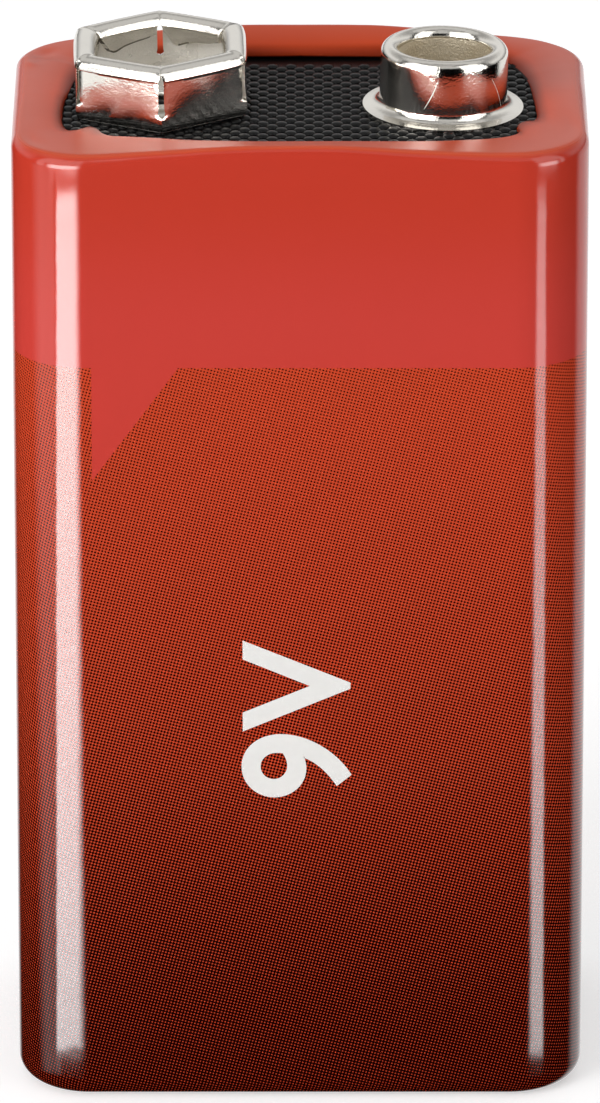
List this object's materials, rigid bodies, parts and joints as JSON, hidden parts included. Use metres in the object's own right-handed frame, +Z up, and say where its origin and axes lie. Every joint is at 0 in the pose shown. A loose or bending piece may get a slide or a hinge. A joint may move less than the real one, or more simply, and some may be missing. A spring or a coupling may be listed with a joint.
{
  "type": "nine volt battery",
  "caption": "Rounded block battery: a printed film sleeve folds over a recessed top board that carries a round snap stud and a petalled snap socket.",
  "frame": {"origin": "middle of the underside, where the folded foot of the sleeve rests", "axes": "+Z up through the terminals, +X from the socket to the stud, +Y away from the printed front"},
  "size_m": [0.0256, 0.017, 0.0478],
  "materials": {
    "printed_film": "gloss",
    "jacket_steel": "satin",
    "black_board": "embossed",
    "grey_board": "matte",
    "bright_nickel": "bright plated",
    "rivet_nickel": "satin",
    "nickel_strip": "satin",
    "fibre_card": "matte",
    "kraft_wrap": "matte",
    "cell_steel": "satin"
  },
  "bodies": {
    "root": {"sleeve": "printed_film", "jacket": "jacket_steel", "top_board": "black_board", "bottom_board": "grey_board", "positive_terminal": "bright_nickel", "negative_terminal": "bright_nickel", "positive_rivet": "rivet_nickel", "negative_rivet": "rivet_nickel", "positive_lead": "nickel_strip", "negative_lead": "nickel_strip", "top_card": "fibre_card", "bottom_card": "fibre_card", "cell_liner": "kraft_wrap", "cell_1": "cell_steel", "cell_2": "cell_steel", "cell_3": "cell_steel", "cell_4": "cell_steel", "cell_5": "cell_steel", "cell_6": "cell_steel", "bottom_link_1_2": "nickel_strip", "top_link_2_3": "nickel_strip", "bottom_link_3_4": "nickel_strip", "top_link_4_5": "nickel_strip", "bottom_link_5_6": "nickel_strip"}
  },
  "joints": []
}
